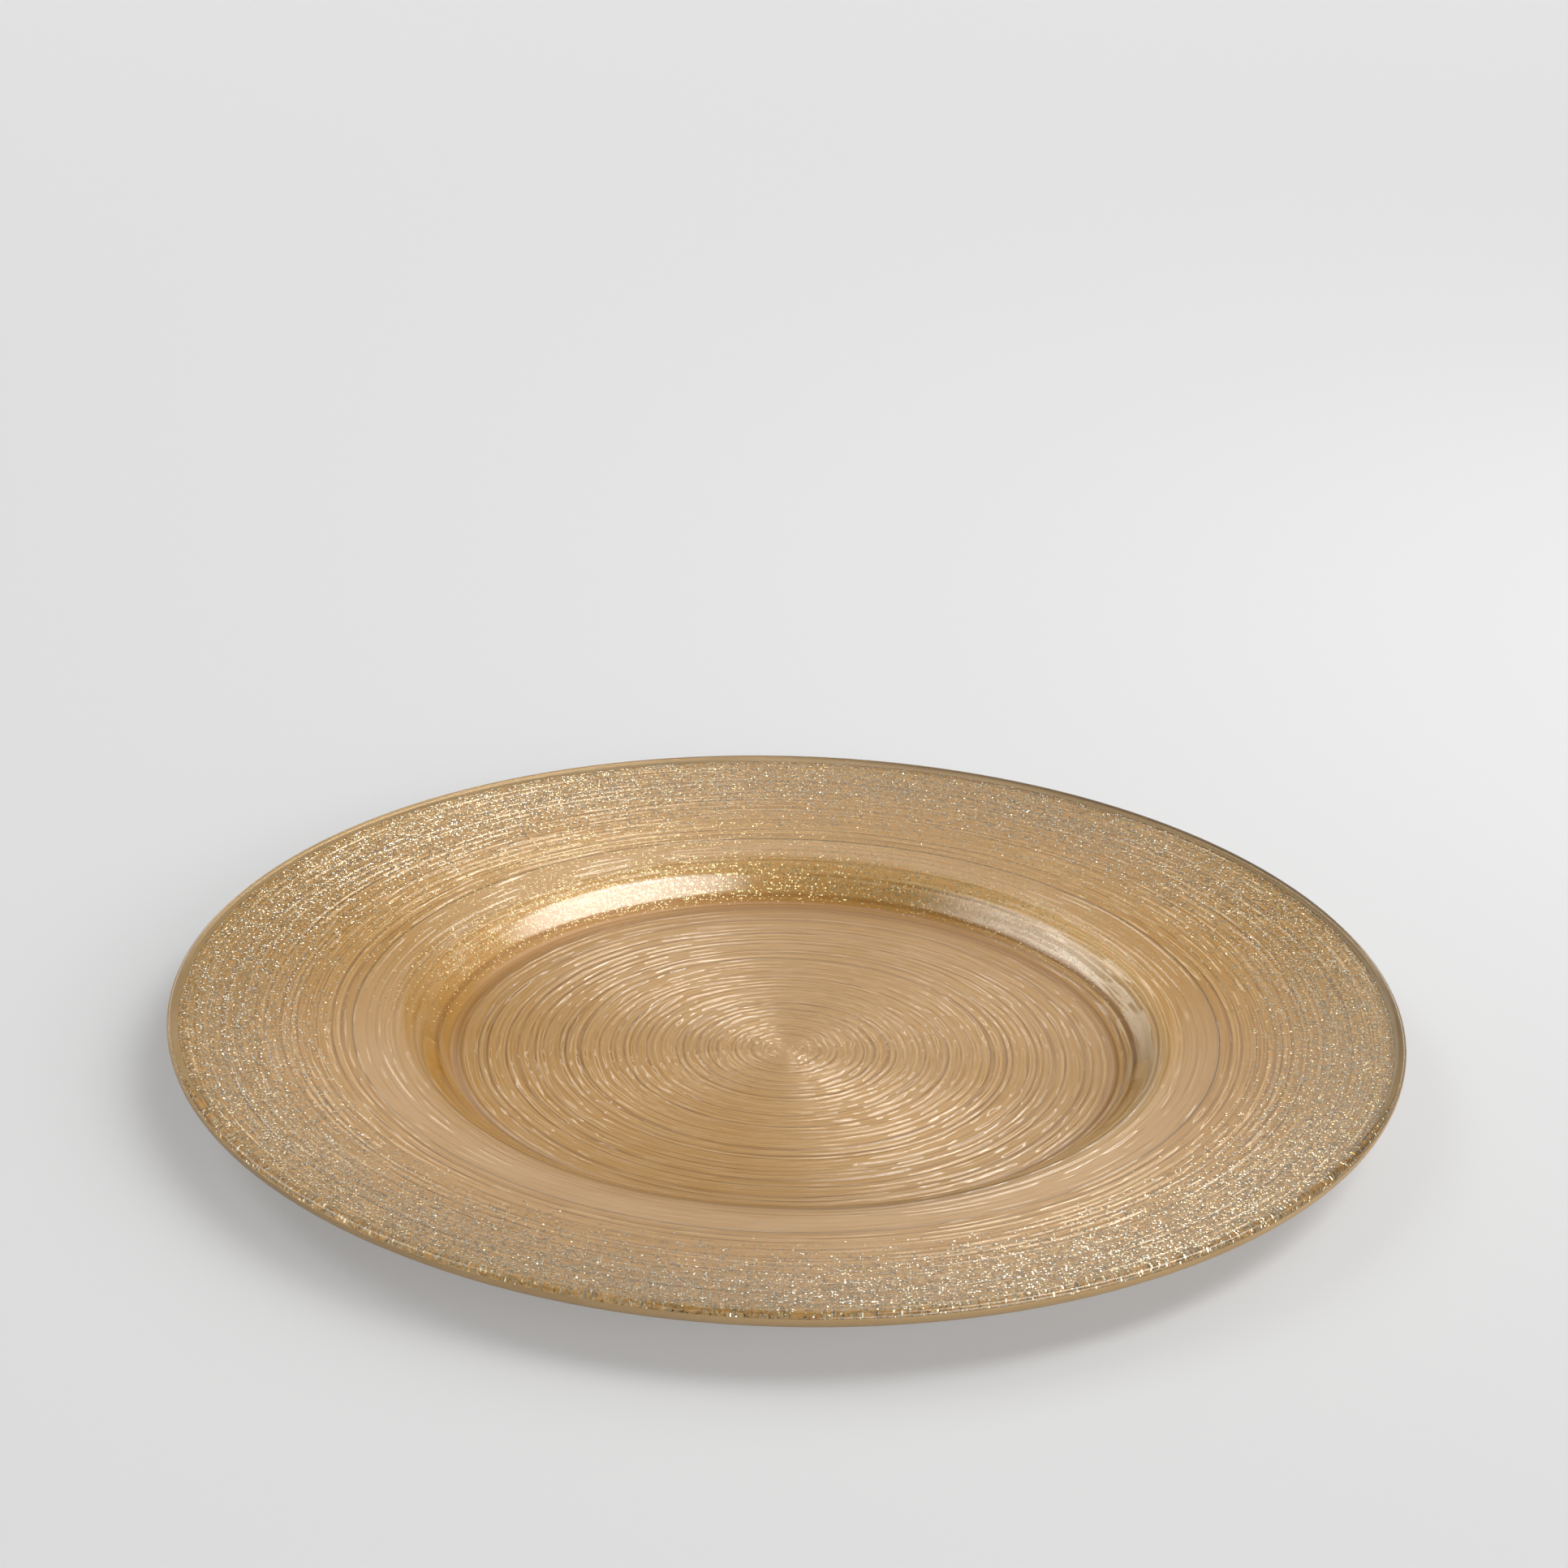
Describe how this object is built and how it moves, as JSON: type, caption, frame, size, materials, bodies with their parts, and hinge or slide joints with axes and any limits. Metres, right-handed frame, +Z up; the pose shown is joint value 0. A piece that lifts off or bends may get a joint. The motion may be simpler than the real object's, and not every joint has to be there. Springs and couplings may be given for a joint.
{
  "type": "charger plate",
  "caption": "Round clear-glass charger plate with a shallow well and a wide, gently rising rim, gilded behind the glass with combed concentric rings and a glitter band under the rim.",
  "frame": {"origin": "centre of the underside, on the surface that the plate rests on", "axes": "+Z up along the plate's axis of revolution; +X and +Y are any two directions across the plate"},
  "size_m": [0.33, 0.33, 0.0196],
  "materials": {
    "clear_glass": "clear, smooth, fire-polished edge",
    "clear_lacquer": "clear size combed into concentric rings on its underside",
    "glitter_lacquer": "clear size filled with fine pale gold glitter",
    "gold_lacquer": "metallic champagne gold, combed into concentric rings",
    "seal_lacquer": "satin gold seal coat"
  },
  "bodies": {
    "root": {"glass_plate": "clear_glass", "clear_size": "clear_lacquer", "glitter_band": "glitter_lacquer", "gold_coat": "gold_lacquer", "seal_coat": "seal_lacquer"}
  },
  "joints": []
}
